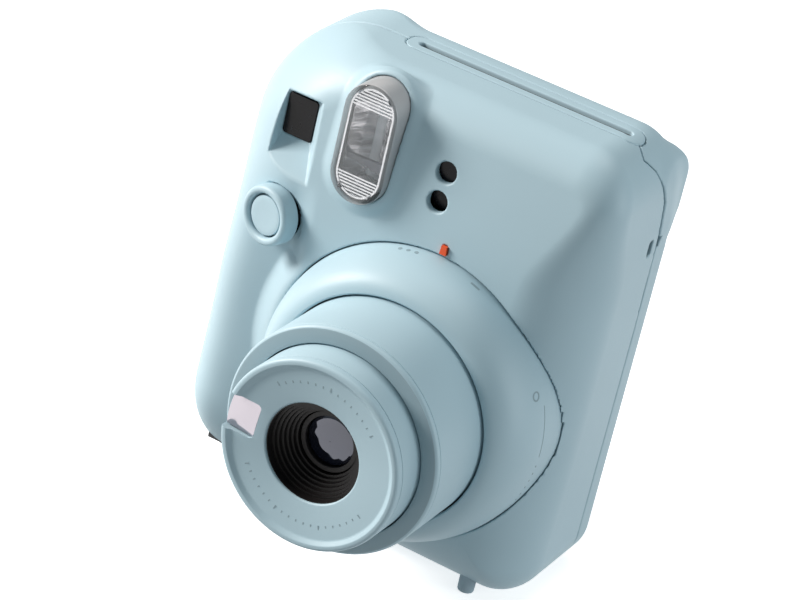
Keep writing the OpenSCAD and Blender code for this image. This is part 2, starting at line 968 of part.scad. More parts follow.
module back_door() {
    rim = 1.4;
    rim_x = [door_hole_x[0] + 0.6, pack_right];
    rim_z = [door_hole_z[0] + 0.6, door_hole_z[1] - 0.6];
    color([0.66, 0.79, 0.84])
        difference() {
            union() {
                along_y([door_front, rear_limit])
                    rounded_rectangle(door_x, door_z, 10);
                for (x = [[rim_x[0], rim_x[0] + rim], [rim_x[1] - rim, rim_x[1]]])
                    block(x, [back - wall + 0.4, door_front + edge], rim_z);
                for (z = [[rim_z[0], rim_z[0] + rim], [rim_z[1] - rim, rim_z[1]]])
                    block(rim_x, [back - wall + 0.4, door_front + edge], z);
                translate([hinge_at.x, hinge_at.y, hinge_z[0]])
                    cylinder(r = hinge_r, h = hinge_z[1] - hinge_z[0]);
                block([door_x[1] - 1, hinge_at.x], [door_front - 0.4, hinge_at.y + hinge_r - 0.2], hinge_z);
                bar_y(counter_at, 1, [rear_limit - 3.6, door_front + edge]);
            }
            translate([hinge_at.x, hinge_at.y, 0])
                cylinder(r = pin_r + fit, h = 120);
            along_y([20, 40])
                rounded_rectangle(film_window_x, film_window_z, 3);
            bar_y(counter_at + [5.2, 0], 2.6, [20, 40]);
            block([door_x[0] + 2, door_x[0] + 3.4], [20, 40], [latch_z[0] - 1.2, latch_z[1] - 2.6]);
            above_step(0);
        }
}

film_window_x = [8, 18];
film_window_z = [44, 74];

module door_hinge_pin() {
    color([0.7, 0.71, 0.72])
        translate([hinge_at.x, hinge_at.y, pin_z[0]])
            cylinder(r = pin_r, h = pin_z[1] - pin_z[0]);
}

module door_latch() {
    color([0.6, 0.74, 0.8]) {
        block([door_x[0] + 0.8, door_x[0] + 4.6], [rear_limit + 0.1, rear_limit + 1], latch_z);
        block([door_x[0] + 2.2, door_x[0] + 3.2], [door_front - 1, rear_limit + 0.1 + edge],
            [latch_z[0] + 3, latch_z[1] - 3]);
    }
}

module film_window() {
    color([0.75, 0.62, 0.3, 0.6])
        along_y([door_front + 0.1, rear_limit - 0.3])
            rounded_rectangle(film_window_x, film_window_z, 3);
}

module counter_window() {
    color([0.8, 0.85, 0.88, 0.5])
        bar_y(counter_at + [5.2, 0], 2.6, [door_front + 0.1, rear_limit - 0.3]);
}

module counter_disc() {
    color([0.93, 0.93, 0.9])
        difference() {
            bar_y(counter_at, counter_r, [rear_limit - 3, rear_limit - 2.2]);
            bar_y(counter_at, 1 + fit, [0, 60]);
        }
}

// Two curved leaf springs that press the pack forwards
module pressure_springs() {
    rest_y = door_front - 0.4;
    rise = 2.3;
    color([0.72, 0.73, 0.75])
        for (x = [[-2, 4], [24, 30]])
            leaf_strip([for (s = [-1:0.1:1]) [rest_y - rise * (1 - s * s), 62 + 24 * s]], 0.4, x);
}

front_shell();
rear_shell();
rubber_feet();
case_screws();
strap_bar();
index_mark();
mode_ring();
barrel_guide();
outer_barrel();
inner_barrel();
front_ring();
selfie_mirror();
lens_cone();
front_lens();
lens_cell();
shutter_plate();
shutter_blade_upper();
shutter_blade_lower();
rear_baffle();
rear_lens();
flash_window();
flash_reflector();
flash_tube();
flash_capacitor();
sensor_windows();
light_sensors();
viewfinder_window();
viewfinder_tube();
viewfinder_lens();
eyepiece_frame();
shutter_button();
button_ring();
shutter_switch();
main_board();
chassis();
light_box();
film_pack();
film_sheets();
ejection_claw();
exit_panel();
exit_flap();
roller_frame();
drive_roller();
pinch_roller();
idler_gear();
gear_axle();
motor_pinion();
motor();
motor_bracket();
battery_box();
battery_cells();
battery_contacts();
battery_door();
back_door();
door_hinge_pin();
door_latch();
film_window();
counter_window();
counter_disc();
pressure_springs();
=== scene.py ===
import json
import math

import bmesh
import bpy
import numpy as np
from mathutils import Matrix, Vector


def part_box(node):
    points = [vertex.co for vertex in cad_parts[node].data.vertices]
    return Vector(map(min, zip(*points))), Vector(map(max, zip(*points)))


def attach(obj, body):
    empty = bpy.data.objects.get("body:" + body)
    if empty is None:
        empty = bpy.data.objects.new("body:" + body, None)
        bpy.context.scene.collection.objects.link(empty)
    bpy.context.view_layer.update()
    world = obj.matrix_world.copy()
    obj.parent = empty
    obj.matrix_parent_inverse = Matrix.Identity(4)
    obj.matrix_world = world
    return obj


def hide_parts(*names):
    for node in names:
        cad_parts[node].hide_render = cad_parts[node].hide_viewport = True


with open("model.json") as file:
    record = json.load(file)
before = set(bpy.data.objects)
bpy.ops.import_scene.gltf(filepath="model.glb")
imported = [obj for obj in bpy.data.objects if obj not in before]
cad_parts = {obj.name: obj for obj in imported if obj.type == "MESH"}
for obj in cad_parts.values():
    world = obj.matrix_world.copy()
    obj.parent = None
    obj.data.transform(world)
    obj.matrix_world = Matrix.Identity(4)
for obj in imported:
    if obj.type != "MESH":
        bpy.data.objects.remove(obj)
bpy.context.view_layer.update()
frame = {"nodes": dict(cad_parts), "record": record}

import openvdb
from mathutils import Matrix, Vector

MM = 0.001

# Main sizes in millimetres, as in the CAD model
WIDTH, HEIGHT = 104.0, 121.4
RIGHT = WIDTH / 2
FRONT, BACK = -18.8, 26.0
LENS_X, LENS_Z = 12.0, 47.6
INNER_R, OUTER_R, RING_R = 23.8, 28.5, 37.6
FACE_Y = -64.3
SHELL_WALL = 2.0

# ---------------------------------------------------------------- materials


def new_material(name):
    """An empty node material with its output and a Principled shader."""
    mat = bpy.data.materials.new(name)
    mat.use_nodes = True
    tree = mat.node_tree
    tree.nodes.clear()
    output = tree.nodes.new("ShaderNodeOutputMaterial")
    shader = tree.nodes.new("ShaderNodeBsdfPrincipled")
    tree.links.new(shader.outputs["BSDF"], output.inputs["Surface"])
    return mat, tree, shader


def noise(tree, scale, detail=3.0, stretch=(1, 1, 1)):
    """Noise in object space; scale counts features in a metre."""
    coords = tree.nodes.new("ShaderNodeTexCoord")
    mapping = tree.nodes.new("ShaderNodeMapping")
    mapping.inputs["Scale"].default_value = stretch
    texture = tree.nodes.new("ShaderNodeTexNoise")
    texture.inputs["Scale"].default_value = scale
    texture.inputs["Detail"].default_value = detail
    tree.links.new(coords.outputs["Object"], mapping.inputs["Vector"])
    tree.links.new(mapping.outputs["Vector"], texture.inputs["Vector"])
    return texture.outputs["Fac"]


def ramp(tree, fac, low, high):
    """Maps a 0..1 value to a colour or a grey between two ends."""
    node = tree.nodes.new("ShaderNodeValToRGB")
    ends = [c if isinstance(c, tuple) else (c, c, c) for c in (low, high)]
    node.color_ramp.elements[0].position = 0.3
    node.color_ramp.elements[1].position = 0.7
    node.color_ramp.elements[0].color = (*ends[0], 1)
    node.color_ramp.elements[1].color = (*ends[1], 1)
    tree.links.new(fac, node.inputs["Fac"])
    return node.outputs["Color"]


def shade(colour, factor):
    return tuple(c * factor for c in colour)


def surface(name, colour, rough=(0.4, 0.5), vary=0.03, grain=2500, bump=0.00002, stretch=(1, 1, 1), **extra):
    """Grained surface: colour and roughness drift slowly, and a fine bump breaks the light."""
    mat, tree, shader = new_material(name)
    drift = noise(tree, 35, 2.0)
    tree.links.new(ramp(tree, drift, shade(colour, 1 - vary), shade(colour, 1 + vary)),
        shader.inputs["Base Color"])
    fine = noise(tree, grain, 2.0, stretch)
    tree.links.new(ramp(tree, fine, rough[0], rough[1]), shader.inputs["Roughness"])
    relief = tree.nodes.new("ShaderNodeBump")
    relief.inputs["Strength"].default_value = 0.6
    relief.inputs["Distance"].default_value = bump
    tree.links.new(fine, relief.inputs["Height"])
    tree.links.new(relief.outputs["Normal"], shader.inputs["Normal"])
    for key, value in extra.items():
        shader.inputs[key.replace("_", " ")].default_value = value
    return mat


BLUE = (0.43, 0.585, 0.65)
M = {
    "shell": surface("shell_blue", BLUE, (0.42, 0.54), 0.015, 3200, 0.000018),
    "barrel": surface("barrel_blue", shade(BLUE, 0.9), (0.34, 0.44), 0.015, 3600, 0.000012),
    # painted shade: a darker copy of the body blue, for the forward-facing step at the foot of the front
    # barrel
    "lip": surface("lip_blue", shade(BLUE, 0.7), (0.4, 0.5), 0.02, 3200, 0.000015),
    "mark": surface("engraving_blue", shade(BLUE, 0.62), (0.45, 0.6), 0.02, 3000, 0.00002),
    "foot": surface("foot_rubber", (0.32, 0.43, 0.49), (0.6, 0.75), 0.05, 1800, 0.00004),
    "black": surface("black_plastic", (0.012, 0.012, 0.014), (0.4, 0.55), 0.2, 2400, 0.00002),
    "cone": surface("cone_black", (0.006, 0.005, 0.005), (0.38, 0.5), 0.2, 2600, 0.00001,
        Specular_IOR_Level=0.3),
    "orange": surface("mark_orange", (0.86, 0.1, 0.02), (0.35, 0.45), 0.04, 2600, 0.00001),
    "steel": surface("plated_steel", (0.55, 0.56, 0.58), (0.22, 0.36), 0.06, 1500, 0.000006, (1, 1, 12),
        Metallic=1.0),
    "roller": surface("roller_steel", (0.34, 0.35, 0.37), (0.16, 0.28), 0.05, 1800, 0.000004, (12, 1, 1),
        Metallic=1.0),
    "acetal": surface("gear_acetal", (0.82, 0.79, 0.68), (0.35, 0.5), 0.04, 2000, 0.00001),
    "brass": surface("pinion_brass", (0.72, 0.52, 0.2), (0.2, 0.34), 0.06, 1700, 0.000006, Metallic=1.0),
    "board": surface("board_green", (0.02, 0.12, 0.06), (0.25, 0.45), 0.2, 900, 0.00002),
    "dark": surface("sleeved_dark", (0.03, 0.035, 0.055), (0.2, 0.3), 0.1, 1500, 0.00001),
    "cell": surface("cell_sleeve", (0.62, 0.38, 0.06), (0.2, 0.32), 0.08, 900, 0.000008, Metallic=0.3),
    "film": surface("film_white", (0.8, 0.8, 0.76), (0.4, 0.55), 0.03, 1800, 0.00001),
    "silver": surface("reflector_silver", (0.6, 0.61, 0.63), (0.08, 0.16), 0.12, 420, 0.00006, Metallic=1.0),
    "mirror": surface("mirror_plate", (0.46, 0.43, 0.47), (0.12, 0.2), 0.04, 700, 0.000003, Metallic=0.85),
    "sensor": surface("sensor_black", (0.002, 0.002, 0.003), (0.2, 0.3), 0.3, 900, 0.000002,
        Specular_IOR_Level=0.15),
    # painted shade: near-black glass standing in for the unlit inside of the black viewfinder tube seen
    # through the window
    "finder": surface("finder_glass_with_painted_shade", (0.004, 0.004, 0.005), (0.2, 0.28), 0.3, 500, 0.000002,
                      Specular_IOR_Level=0.2),
}


def glass(name, tint, rough, alpha_mix, grain=1200):
    """Clear moulding: a mix of see-through and glossy, so that what is behind it stays visible."""
    mat, tree, shader = new_material(name)
    shader.inputs["IOR"].default_value = 1.46
    tree.links.new(ramp(tree, noise(tree, 60), shade(tint, 0.95), tint), shader.inputs["Base Color"])
    fine = noise(tree, grain, 2.0)
    tree.links.new(ramp(tree, fine, rough, rough + 0.06), shader.inputs["Roughness"])
    relief = tree.nodes.new("ShaderNodeBump")
    relief.inputs["Strength"].default_value = 0.3
    relief.inputs["Distance"].default_value = 0.00001
    tree.links.new(fine, relief.inputs["Height"])
    tree.links.new(relief.outputs["Normal"], shader.inputs["Normal"])
    shader.inputs["Alpha"].default_value = alpha_mix
    return mat


M["clear"] = glass("clear_moulding", (0.8, 0.83, 0.85), 0.04, 0.12)
M["frosted"] = glass("frosted_side", (0.6, 0.61, 0.62), 0.16, 0.72)
M["amber"] = glass("amber_window", (0.5, 0.28, 0.05), 0.06, 0.7)
M["tube"] = glass("tube_glass", (0.8, 0.86, 0.9), 0.04, 0.45)


def bowl_material():
    """Polished bowl: silver with painted dark reflection streaks in its base colour, standing in for the
    dark surroundings that a curved mirror shows.
    """
    mat, tree, shader = new_material("flash_bowl_silver")
    # painted reflection: dark and bright streaks in the base colour stand in for what the bowl would mirror;
    # the same pattern also drives the bump
    painted_reflection_streaks = noise(tree, 150, 4.0, (0.6, 1, 4.5))
    tree.links.new(ramp(tree, painted_reflection_streaks, (0.1, 0.1, 0.11), (0.92, 0.92, 0.94)), shader.inputs["Base Color"])
    tree.links.new(ramp(tree, noise(tree, 700), 0.06, 0.18), shader.inputs["Roughness"])
    shader.inputs["Metallic"].default_value = 1.0
    relief = tree.nodes.new("ShaderNodeBump")
    relief.inputs["Strength"].default_value = 0.8
    relief.inputs["Distance"].default_value = 0.0003
    tree.links.new(painted_reflection_streaks, relief.inputs["Height"])
    tree.links.new(relief.outputs["Normal"], shader.inputs["Normal"])
    return mat


def lens_material():
    """Coated glass: dark, glossy, with a faint blue-violet sheen that drifts over it."""
    mat, tree, shader = new_material("lens_coated")
    sheen = ramp(tree, noise(tree, 120, 1.0), (0.008, 0.008, 0.012), (0.02, 0.022, 0.032))
    tree.links.new(sheen, shader.inputs["Base Color"])
    tree.links.new(ramp(tree, noise(tree, 900), 0.03, 0.07), shader.inputs["Roughness"])
    shader.inputs["Coat Weight"].default_value = 1.0
    shader.inputs["Coat Roughness"].default_value = 0.03
    shader.inputs["Coat Tint"].default_value = (0.75, 0.8, 1.0, 1)
    shader.inputs["Specular IOR Level"].default_value = 0.8
    return mat


M["lens"] = lens_material()
M["bowl"] = bowl_material()

SLOT_MATERIAL = {
    "shell_plastic": "shell", "barrel_plastic": "barrel", "foot_rubber": "foot", "black_plastic": "black",
    "mark_orange": "orange", "clear_plastic": "clear", "amber_plastic": "amber", "smoked_plastic": "sensor",
    "lens_glass": "lens", "tube_glass": "tube", "mirror_plate": "mirror", "reflector_metal": "silver",
    "plated_steel": "steel", "roller_steel": "roller", "gear_plastic": "acetal", "pinion_brass": "brass",
    "board_green": "board", "part_dark": "dark", "cell_label": "cell", "film_white": "film",
}
NODE_MATERIAL = {"lens_cone": "cone", "lens_cell": "cone", "viewfinder_window": "finder"}
SLOT_OF = {s["node"]: s["material_slot"] for s in frame["record"]["subparts"]}


def paint(obj, material):
    obj.data.materials.clear()
    obj.data.materials.append(material)


def paint_nodes():
    """Gives every CAD node its procedural material."""
    for name, obj in frame["nodes"].items():
        paint(obj, M[NODE_MATERIAL.get(name, SLOT_MATERIAL[SLOT_OF[name]])])


# ---------------------------------------------------------------- meshes


def add_object(name, mesh, body, material, nodes=()):
    """Links a mesh as a piece that rides on a body and stands for CAD nodes."""
    obj = bpy.data.objects.new(name, mesh)
    bpy.context.scene.collection.objects.link(obj)
    for mat in material if isinstance(material, (list, tuple)) else [material]:
        mesh.materials.append(mat)
    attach(obj, body)
    if nodes:
        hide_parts(*nodes)
    return obj


def smooth_mesh(mesh, angle=35):
    mesh.shade_smooth()
    mesh.set_sharp_from_angle(angle=math.radians(angle))


def mesh_from(name, verts, faces, angle=35):
    """A smooth-shaded mesh from millimetre points."""
    mesh = bpy.data.meshes.new(name)
    mesh.from_pydata([tuple(c * MM for c in v) for v in verts], [], faces)
    mesh.validate()
    work = bmesh.new()
    work.from_mesh(mesh)
    bmesh.ops.recalc_face_normals(work, faces=work.faces)
    work.to_mesh(mesh)
    work.free()
    smooth_mesh(mesh, angle)
    return mesh


def rounded(corners, steps=6):
    """Points of a closed outline through (a, b, radius) corners, each rounded by an arc."""
    points = []
    count = len(corners)
    for i, (a, b, r) in enumerate(corners):
        here = Vector((a, b))
        last = (Vector(corners[i - 1][:2]) - here).normalized()
        after = (Vector(corners[(i + 1) % count][:2]) - here).normalized()
        if r <= 0 or abs(last.dot(after)) > 0.9999:
            points.append((a, b))
            continue
        half = math.acos(max(-1, min(1, last.dot(after)))) / 2
        middle = here + (last + after).normalized() * r / math.sin(half)
        start = here + last * r / math.tan(half) - middle
        end = here + after * r / math.tan(half) - middle
        a0 = math.atan2(start.y, start.x)
        turn = (math.atan2(end.y, end.x) - a0 + 3 * math.pi) % (2 * math.pi) - math.pi
        for s in range(steps + 1):
            t = a0 + turn * s / steps
            points.append((middle.x + r * math.cos(t), middle.y + r * math.sin(t)))
    return points


def lathe(name, outline, centre=(LENS_X, LENS_Z), segments=192, angle=35):
    """Turns a closed [radius, y] outline about an axis along Y."""
    verts = []
    faces = []
    count = len(outline)
    for s in range(segments):
        t = 2 * math.pi * s / segments
        verts += [(centre[0] + r * math.cos(t), y, centre[1] + r * math.sin(t)) for r, y in outline]
    for s in range(segments):
        for i in range(count):
            a, b = s * count + i, s * count + (i + 1) % count
            c, d = (s + 1) % segments * count + (i + 1) % count, (s + 1) % segments * count + i
            faces.append((a, b, c, d))
    mesh = mesh_from(name, verts, faces, angle)
    work = bmesh.new()
    work.from_mesh(mesh)
    bmesh.ops.remove_doubles(work, verts=work.verts, dist=1e-7)
    bmesh.ops.dissolve_degenerate(work, edges=work.edges, dist=1e-7)
    work.to_mesh(mesh)
    work.free()
    smooth_mesh(mesh, angle)
    return mesh


def bevel(obj, width, segments=3, angle=35):
    """Rounds the sharp edges of a piece by a real width in millimetres."""
    mod = obj.modifiers.new("rounding", "BEVEL")
    mod.width = width * MM
    mod.segments = segments
    mod.limit_method = "ANGLE"
    mod.angle_limit = math.radians(angle)
    mod.harden_normals = True


def prism(name, outline, y_front, y_back, angle=35):
    """Extrudes a closed XZ outline along Y."""
    count = len(outline)
    verts = [(x, y_front, z) for x, z in outline] + [(x, y_back, z) for x, z in outline]
    faces = [tuple(range(count)), tuple(range(2 * count - 1, count - 1, -1))]
    faces += [(i, i + count, (i + 1) % count + count, (i + 1) % count) for i in range(count)]
    return mesh_from(name, verts, faces, angle)


def pill_outline(x, z, w, h, steps=24):
    r = w / 2
    points = []
    for side in (1, -1):
        for s in range(steps + 1):
            t = math.pi * s / steps + (0 if side > 0 else math.pi)
            points.append((x + r * math.cos(t), z + side * (h / 2 - r) + r * math.sin(t)))
    return points


# ---------------------------------------------------------------- body form


def ease(v, start, end):
    """0 before start, 1 after end, smooth between."""
    t = np.clip((v - start) / (end - start), 0, 1)
    return t * t * (3 - 2 * t)


def round_max(a, b, r):
    """Rounded intersection of two distance fields."""
    return np.minimum(np.maximum(a, b), -r) + np.hypot(np.maximum(a + r, 0), np.maximum(b + r, 0))


def round_min(a, b, r):
    return -round_max(-a, -b, r)


def cut(field, tool, r=0.4):
    """Field with a tool taken out of it, with a small edge rounding."""
    return round_max(field, -tool, r)


def rect(u, v, u_range, v_range, r):
    """Distance to a rounded rectangle."""
    qu = abs(u - sum(u_range) / 2) - (u_range[1] - u_range[0]) / 2 + r
    qv = abs(v - sum(v_range) / 2) - (v_range[1] - v_range[0]) / 2 + r
    return np.minimum(np.maximum(qu, qv), 0) + np.hypot(np.maximum(qu, 0), np.maximum(qv, 0)) - r


def between(v, low, high):
    return np.maximum(low - v, v - high)


def outline_distance(x, z):
    """Distance to the body's front outline, which has a different radius at each corner."""
    mid = HEIGHT / 2
    dz = z - mid
    r = np.where(x > 0, np.where(dz > 0, 13.0, 11.0), np.where(dz > 0, 25.5, 22.0))
    qx = abs(x) - RIGHT + r
    qz = abs(dz) - mid + r
    return np.minimum(np.maximum(qx, qz), 0) + np.hypot(np.maximum(qx, 0), np.maximum(qz, 0)) - r


def front_surface(x, z):
    """Y of the front: flat plateau round the lens, valley and grip on the left, slope near the top."""
    slope = 6.0 * (np.maximum(0, z - 75) / 47) ** 2
    ring = np.hypot(x - LENS_X, z - LENS_Z) - 38.9
    off_plateau = np.minimum(ring, -22.0 - x)
    fade = 1 - ease(z, 66, 92)
    low_fade = ease(z, -6, 16)
    valley = 5.0 * ease(off_plateau, -0.5, 7) - 4.6 * np.exp(-((x + 45) / 9.5) ** 2) * ease(-22 - x, 0, 6)
    return FRONT + slope + valley * fade * (0.5 + 0.5 * low_fade)


def body_distance(x, y, z):
    """Distance to the closed outer form of the casing."""
    out = outline_distance(x, z)
    right = ease(x, -20, 20)
    r_front = 20 - right + 4 * (1 - right) * ease(z, 50, 90)
    r_front = r_front + (18.5 - 2 * right - r_front) * (1 - ease(z, 12, 45))
    r_front = r_front + (9 - r_front) * ease(z, 84, 112) * ease(x, -42, -16)
    front = (front_surface(x, z) - y) * 0.97
    r_back = 4.8 + 6.2 * ease(z, 90, 115) * ease(x, -34, -20)
    return round_max(round_max(out, front, r_front), y - BACK, r_back)


def seam_y(x, z):
    """Y of the joint between the shells; it swings forward over the top right corner."""
    side = np.interp(z, [0, 70, 96, 105.6, 115.4, 121.4], [16.8, 16.8, 16.0, 13.9, 7.8, 1.0])
    top = np.interp(x, [-52, -23, 40, 44.1, 48.3, 52], [9, 9, 9, 7.4, 3.8, 1.0])
    return np.maximum(side, top)


FLASH_AT, FLASH_SIZE = (-12.0, 105.1), (14.5, 31.0)
SENSORS = [(8.3, 104.8), (8.2, 97.4)]
BUTTON_AT, BUTTON_R = (-33.6, 76.3), 5.2
BUTTON_TILT = math.radians(-16)
FINDER_X, FINDER_Z = (-38.7, -30.4), (94.6, 105.6)
GLASS_Y = -11.2
SLOT_X, PANEL_X = (-17.4, 41.4), (-20.4, 44.4)
PATH_Y = 9.0
HATCH_Y, HATCH_Z = (-3.4, 13.8), (11.6, 62.4)


def pill_distance(x, z, at, size):
    straight = (size[1] - size[0]) / 2
    return np.hypot(x - at[0], np.maximum(abs(z - at[1]) - straight, 0)) - size[0] / 2


def finder_scoop(x, y, z):
    """Recess round the viewfinder glass: steep at the sides, open and sloping at the bottom."""
    depth = GLASS_Y - y
    left = FINDER_X[0] - 0.2 - x - depth * 0.02
    right = x - FINDER_X[1] - 0.3 - depth * 0.62
    top = z - FINDER_Z[1] - 0.3 - depth * 0.5
    low = (FINDER_Z[0] - 0.3 - z) - depth * 1.0
    walls = round_max(round_max(left, right * 0.85, 0.3), round_max(top * 0.9, low * 0.7, 0.3), 0.3)
    return round_max(walls, y - GLASS_Y - 0.05, 0.1)


def cut_front(x, y, z, d):
    """Openings in the front shell."""
    ring = np.hypot(x - LENS_X, z - LENS_Z)
    d = cut(d, np.maximum(ring - RING_R - 0.16, y + 4.5), 0.3)
    flash = pill_distance(x, z, FLASH_AT, FLASH_SIZE)
    d = cut(d, np.maximum(flash - 0.12, y + 11.3), 0.4)
    d = cut(d, finder_scoop(x, y, z), 0.45)
    d = cut(d, np.maximum(rect(x, z, FINDER_X, FINDER_Z, 0.8), y - 5), 0.3)
    for at in SENSORS:
        d = cut(d, np.maximum(np.hypot(x - at[0], z - at[1]) - 2.7, y), 0.35)
    across = (x - BUTTON_AT[0]) * math.cos(BUTTON_TILT) + (y - FRONT) * math.sin(BUTTON_TILT)
    button = np.hypot(across, z - BUTTON_AT[1])
    d = cut(d, np.maximum(button - 7.75, y - FRONT - 2.8), 0.25)
    d = cut(d, np.maximum(button - BUTTON_R - 1, y), 0.3)
    d = cut(d, np.maximum(rect(x, z, (LENS_X + 0.5, LENS_X + 2.3), (86.0, 88.2), 0.3), y - FRONT - 0.8), 0.2)
    return cut(d, np.maximum(rect(y, z, HATCH_Y, HATCH_Z, 1.2), x + RIGHT - 3), 0.3)


def cut_shared(x, y, z, d):
    """Openings that cross the joint: the film exit and the strap holes."""
    d = cut(d, np.maximum(rect(x, y, (PANEL_X[0] - 0.12, PANEL_X[1] + 0.12), (PATH_Y - 4.1, PATH_Y + 4.1),
        3.4), 100 - z), 0.25)
    d = cut(d, np.maximum(rect(y, z, (11.2, 13.4), (91.9, 96.1), 0.9), 48 - x), 0.3)
    return cut(d, np.maximum(rect(y, z, (16.2, 17.3), (93, 96), 0.45), 48 - x), 0.2)


def front_shell_field(x, y, z):
    d = body_distance(x, y, z)
    inside = d + SHELL_WALL
    collar = pill_distance(x, z, FLASH_AT, FLASH_SIZE) - 1.5
    d = round_min(d, round_max(collar, np.maximum(front_surface(x, z) - 0.45 - y, y - FRONT - 9), 1.0), 3.0)
    d = cut_shared(x, y, z, cut_front(x, y, z, d))
    pocket = finder_scoop(x, y, z) - 1.4
    d = np.maximum(d, -np.maximum(inside, -pocket))
    return round_max(d, y - seam_y(x, z) + 0.14, 0.35)


EYEPIECE_AT, EYEPIECE_R = (-32.5, 106.5), 11.0
DOOR_HOLE_X, DOOR_HOLE_Z = (-24.1, 45.6), (6.0, 102.4)
STEP_AT = (43.6, 92.8)
HINGE_Z = (9.6, 92.4)
REAR_FINDER_X, REAR_FINDER_Z = (-37.7, -26.7), (96, 109.5)
SCREWS = [(-44, 16), (-44, 78), (-12, 107.4), (34, 107.4)]


def ear_distance(x, y, z):
    """The lobe at the top right that carries the hinge pin."""
    side = rect(y, z, (10, 27.8), (94.2, 117.2), 7.5)
    return round_max(round_max(side, between(x, 45.2, RIGHT), 2.2), outline_distance(x, z), 2.5)


def rear_shell_field(x, y, z):
    d = body_distance(x, y, z)
    inside = d + SHELL_WALL
    d = round_min(d, ear_distance(x, y, z), 2.5)
    eyepiece = np.hypot(x - EYEPIECE_AT[0], z - EYEPIECE_AT[1])
    d = round_min(d, round_max(eyepiece - EYEPIECE_R, between(y, 18, 26.4), 0.6), 2.5)
    d = np.maximum(d, -inside)
    d = cut_shared(x, y, z, d)
    below_step = np.minimum(x - STEP_AT[0], z - STEP_AT[1])
    opening = np.maximum(rect(x, z, DOOR_HOLE_X, DOOR_HOLE_Z, 2), 20 - y)
    d = cut(d, np.maximum(opening, below_step), 0.4)
    d = cut(d, np.maximum(rect(x, z, REAR_FINDER_X, REAR_FINDER_Z, 1), -y), 0.3)
    along_hinge = between(z, *HINGE_Z)
    knuckle_room = rect(x, y, (44.6, 50.0), (22.0, 32.0), 1.0)
    d = cut(d, np.maximum(knuckle_room, along_hinge), 0.3)
    open_door = rect(x, y, (49.4, 51.8), (24.3, 32.0), 0.3)
    d = cut(d, np.maximum(open_door, along_hinge), 0.3)
    for at in SCREWS:
        screw = np.hypot(x - at[0], z - at[1])
        d = cut(d, np.maximum(screw - 2.15, 24.4 - y), 0.25)
        d = cut(d, screw - 1.1, 0.2)
    return round_max(d, seam_y(x, z) + 0.14 - y, 0.35)


def battery_door_field(x, y, z):
    d = body_distance(x, y, z)
    d = np.maximum(d, -(d + SHELL_WALL))
    plate = np.maximum(rect(y, z, (-3, 12), (12, 62), 1.2), x + RIGHT - SHELL_WALL)
    d = round_max(d, plate, 0.3)
    knuckle = np.hypot(x + 51, y - 12.4)
    d = round_min(d, round_max(knuckle - 0.9, between(z, 12, 62), 0.2), 0.3)
    grip = np.minimum.reduce([np.hypot(x + RIGHT + 0.35, z - (54 + 1.6 * i)) - 0.6 for i in range(4)])
    return cut(d, np.maximum(grip, between(y, -1, 7)), 0.15)


def exit_panel_field(x, y, z):
    d = body_distance(x, y, z)
    d = np.maximum(d, -(d + 2.4))
    d = round_max(d, rect(x, y, PANEL_X, (PATH_Y - 4, PATH_Y + 4), 3.3), 0.3)
    d = round_max(d, 110 - z, 0.1)
    return cut(d, rect(x, y, SLOT_X, (PATH_Y - 1.2, PATH_Y + 1.2), 1.15), 0.35)


def gradient(field, p, step=0.02):
    g = np.empty_like(p)
    for axis in range(3):
        offset = np.zeros(3)
        offset[axis] = step
        high, low = p + offset, p - offset
        g[:, axis] = field(*high.T) - field(*low.T)
    return g / (2 * step)


def settle(field, p, rounds=3, reach=0.5):
    """Moves points onto the zero surface of a distance field."""
    for _ in range(rounds):
        g = gradient(field, p)
        move = field(*p.T)[:, None] * g / np.maximum((g * g).sum(1), 0.05)[:, None]
        length = np.linalg.norm(move, axis=1, keepdims=True)
        p = p - move * np.minimum(1, reach / np.maximum(length, 1e-9))
    return p


def field_mesh(name, field, low, high, step, faces):
    """Meshes a distance field, thins the mesh and puts its points and normals back on the surface."""
    low = np.array(low, float)
    axes = [np.arange(low[i], high[i] + step, step) for i in range(3)]
    x, y, z = axes[0][:, None, None], axes[1][None, :, None], axes[2][None, None, :]
    values = np.clip(field(x, y, z), -3, 3).astype(np.float32)
    grid = openvdb.FloatGrid(background=3.0)
    grid.copyFromArray(np.ascontiguousarray(values))
    points, quads = grid.convertToQuads(isovalue=0.0)
    points = settle(field, points * step + low)
    mesh = bpy.data.meshes.new(name)
    mesh.vertices.add(len(points))
    mesh.vertices.foreach_set("co", points.astype(np.float32).ravel())
    mesh.loops.add(len(quads) * 4)
    mesh.loops.foreach_set("vertex_index", quads.astype(np.int32).ravel())
    mesh.polygons.add(len(quads))
    mesh.polygons.foreach_set("loop_start", np.arange(0, len(quads) * 4, 4, dtype=np.int32))
    mesh.update(calc_edges=True)
    mesh.validate()
    if len(quads) * 2 > faces:
        thin = bpy.data.objects.new(name + "_work", mesh)
        bpy.context.scene.collection.objects.link(thin)
        mod = thin.modifiers.new("thin", "DECIMATE")
        mod.ratio = faces / (len(quads) * 2)
        thinned = bpy.data.meshes.new_from_object(thin.evaluated_get(bpy.context.evaluated_depsgraph_get()))
        bpy.data.objects.remove(thin)
        mesh = thinned
    mesh.name = name
    points = np.empty(len(mesh.vertices) * 3, np.float32)
    mesh.vertices.foreach_get("co", points)
    points = settle(field, points.reshape(-1, 3).astype(float), 2, 0.25)
    normals = gradient(field, points)
    length = np.linalg.norm(normals, axis=1, keepdims=True)
    normals = np.where(length > 0.3, normals / np.maximum(length, 1e-9), 0)
    mesh.vertices.foreach_set("co", (points * MM).astype(np.float32).ravel())
    mesh.update()
    mesh.shade_smooth()
    mesh.normals_split_custom_set_from_vertices(normals.tolist())
    return mesh


def field_piece(name, node, body, material, field, low, high, step, faces):
    mesh = field_mesh(name, field, low, high, step, faces)
    return add_object(name, mesh, body, material, [node])


